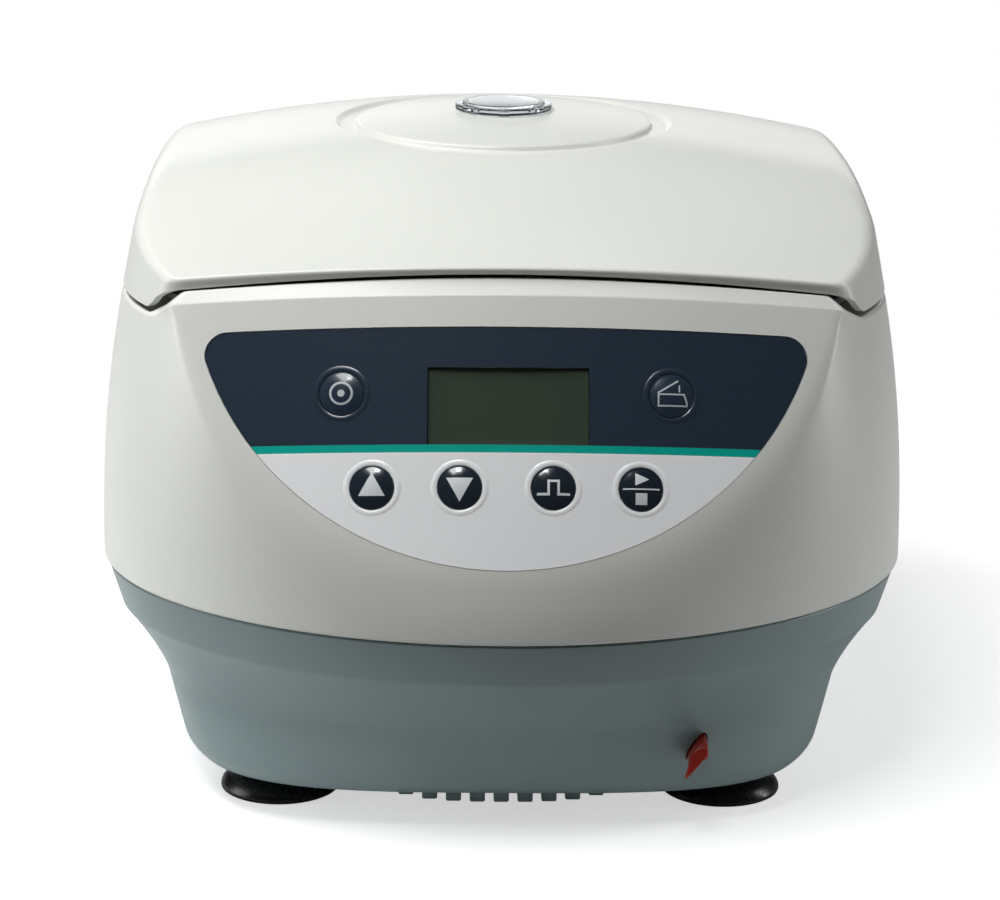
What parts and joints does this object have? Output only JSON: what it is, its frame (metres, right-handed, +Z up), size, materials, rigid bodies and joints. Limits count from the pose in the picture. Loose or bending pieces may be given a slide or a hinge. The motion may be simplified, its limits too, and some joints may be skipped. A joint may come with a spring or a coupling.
{
  "type": "microplate centrifuge",
  "caption": "Compact bench centrifuge with a crowned hinged lid, leaning keypad face and swing-out rotor for microplates, standing on rubber suction feet.",
  "frame": {"origin": "where the rotor axis meets the bench top, which is also the middle of the outline seen from above", "axes": "+Z up along the rotor axis, +X to the right of a person at the keypad, the keypad faces -Y"},
  "size_m": [0.294, 0.3659, 0.2385],
  "materials": {
    "housing_white": "satin off-white moulding",
    "base_grey": "satin blue-grey moulding",
    "film": "dark film with a fine texture",
    "display": "dark glossy window",
    "key_caps": "glossy domed caps",
    "circuit_board": "green solder mask",
    "black_plastic": "satin black moulding",
    "rubber_black": "matt black",
    "steel": "fine turned or rolled steel",
    "zinc_sheet": "zinc plated",
    "dark_metal": "dark coated metal",
    "carrier_metal": "anodised",
    "liner_grey": "satin light grey moulding",
    "clear_plastic": "clear polished moulding",
    "lever_red": "dark red moulding",
    "brass": "plated contact pins"
  },
  "bodies": {
    "housing": {"base_shell": "base_grey", "floor_vent": "base_grey", "suction_feet": "rubber_black", "foot_studs": "steel", "shell_screws": "steel", "upper_shell": "housing_white", "keypad_film": "film", "lcd_window": "display", "lcd_module": "black_plastic", "control_board": "circuit_board", "chamber_bowl": "steel", "bowl_screws": "steel", "chamber_seal": "rubber_black", "shaft_boot": "rubber_black", "motor_plate": "zinc_sheet", "motor_mounts": "rubber_black", "motor_can": "dark_metal", "motor_cap": "zinc_sheet", "motor_screws": "steel", "hinge_brackets": "zinc_sheet", "bar_guides": "steel", "solenoid": "dark_metal", "crank_bracket": "zinc_sheet", "tab_bracket": "zinc_sheet", "lid_switch": "black_plastic", "power_board": "circuit_board", "rear_plate": "zinc_sheet", "power_inlet": "black_plastic", "inlet_pins": "brass", "switch_frame": "black_plastic", "fan_frame": "black_plastic", "fan_guard": "black_plastic"},
    "lid": {"lid_shell": "housing_white", "lid_liner": "liner_grey", "liner_screws": "steel", "sight_glass": "clear_plastic", "sight_nut": "black_plastic", "lid_hinge_arms": "zinc_sheet", "hinge_pins": "steel", "latch_studs": "steel"},
    "rotor": {"spindle": "steel", "rotor_yoke": "dark_metal", "pivot_pins": "steel", "rotor_nut": "steel"},
    "front_carrier": {"carrier_front": "carrier_metal"},
    "rear_carrier": {"carrier_rear": "carrier_metal"},
    "set_key": {"key_set": "key_caps"},
    "open_key": {"key_open": "key_caps"},
    "up_key": {"key_up": "key_caps"},
    "down_key": {"key_down": "key_caps"},
    "short_key": {"key_short": "key_caps"},
    "start_key": {"key_start": "key_caps"},
    "latch_slider": {"latch_bar": "steel", "solenoid_plunger": "steel"},
    "crank": {"bell_crank": "steel"},
    "rod": {"release_rod": "steel"},
    "lower_crank": {"tab_crank": "steel"},
    "tab": {"release_tab": "lever_red"},
    "rocker": {"power_rocker": "black_plastic"},
    "impeller": {"fan_impeller": "black_plastic"}
  },
  "joints": [
    {"name": "lid_hinge", "type": "hinge", "parent": "housing", "child": "lid", "pos_m": [0, 0.177, 0.18], "axis": [-1, 0, 0], "range_deg": [0, 75]},
    {"name": "rotor_spin", "type": "hinge", "parent": "housing", "child": "rotor", "pos_m": [0, 0, 0.135], "axis": [0, 0, 1], "continuous": true},
    {"name": "front_carrier_swing", "type": "hinge", "parent": "rotor", "child": "front_carrier", "pos_m": [0, -0.054, 0.135], "axis": [-1, 0, 0], "range_deg": [0, 90]},
    {"name": "rear_carrier_swing", "type": "hinge", "parent": "rotor", "child": "rear_carrier", "pos_m": [0, 0.054, 0.135], "axis": [1, 0, 0], "range_deg": [0, 90]},
    {"name": "set_press", "type": "slide", "parent": "housing", "child": "set_key", "axis": [0.1054, 0.8983, -0.4265], "range_m": [0, 0.0005], "stiffness_N_per_m": 900, "springref_m": -0.001},
    {"name": "open_press", "type": "slide", "parent": "housing", "child": "open_key", "axis": [-0.1054, 0.8983, -0.4265], "range_m": [0, 0.0005], "stiffness_N_per_m": 900, "springref_m": -0.001},
    {"name": "up_press", "type": "slide", "parent": "housing", "child": "up_key", "axis": [0.0854, 0.9, -0.4274], "range_m": [0, 0.0005], "stiffness_N_per_m": 900, "springref_m": -0.001},
    {"name": "down_press", "type": "slide", "parent": "housing", "child": "down_key", "axis": [0.0296, 0.9029, -0.4287], "range_m": [0, 0.0005], "stiffness_N_per_m": 900, "springref_m": -0.001},
    {"name": "short_press", "type": "slide", "parent": "housing", "child": "short_key", "axis": [-0.0299, 0.9029, -0.4287], "range_m": [0, 0.0005], "stiffness_N_per_m": 900, "springref_m": -0.001},
    {"name": "start_press", "type": "slide", "parent": "housing", "child": "start_key", "axis": [-0.0857, 0.9, -0.4274], "range_m": [0, 0.0005], "stiffness_N_per_m": 900, "springref_m": -0.001},
    {"name": "latch_slide", "type": "slide", "parent": "housing", "child": "latch_slider", "axis": [1, 0, 0], "range_m": [0, 0.0075]},
    {"name": "crank_turn", "type": "hinge", "parent": "housing", "child": "crank", "pos_m": [0.084, -0.118, 0.1465], "axis": [0, 1, 0], "range_deg": [0, 26.85]},
    {"name": "rod_slide", "type": "slide", "parent": "housing", "child": "rod", "axis": [0, 0, 1], "range_m": [0, 0.00747]},
    {"name": "lower_crank_turn", "type": "hinge", "parent": "housing", "child": "lower_crank", "pos_m": [0.06844, -0.13036, 0.04916], "axis": [1, 0, 0], "range_deg": [0, 26.85]},
    {"name": "tab_slide", "type": "slide", "parent": "housing", "child": "tab", "axis": [0, 1, 0], "range_m": [0, 0.00747]},
    {"name": "power_rock", "type": "hinge", "parent": "housing", "child": "rocker", "pos_m": [0.066, 0.17345, 0.125], "axis": [1, 0, 0], "range_deg": [-16, 0]},
    {"name": "fan_spin", "type": "hinge", "parent": "housing", "child": "impeller", "pos_m": [-0.05, 0.165, 0.125], "axis": [0, 1, 0], "continuous": true}
  ],
  "couplings": [
    {"joint": "crank_turn", "follows": "latch_slide", "rad_per_m": 62.366},
    {"joint": "rod_slide", "follows": "latch_slide", "ratio": 0.98879},
    {"joint": "lower_crank_turn", "follows": "latch_slide", "rad_per_m": 62.366},
    {"joint": "tab_slide", "follows": "latch_slide", "ratio": 0.98879}
  ]
}
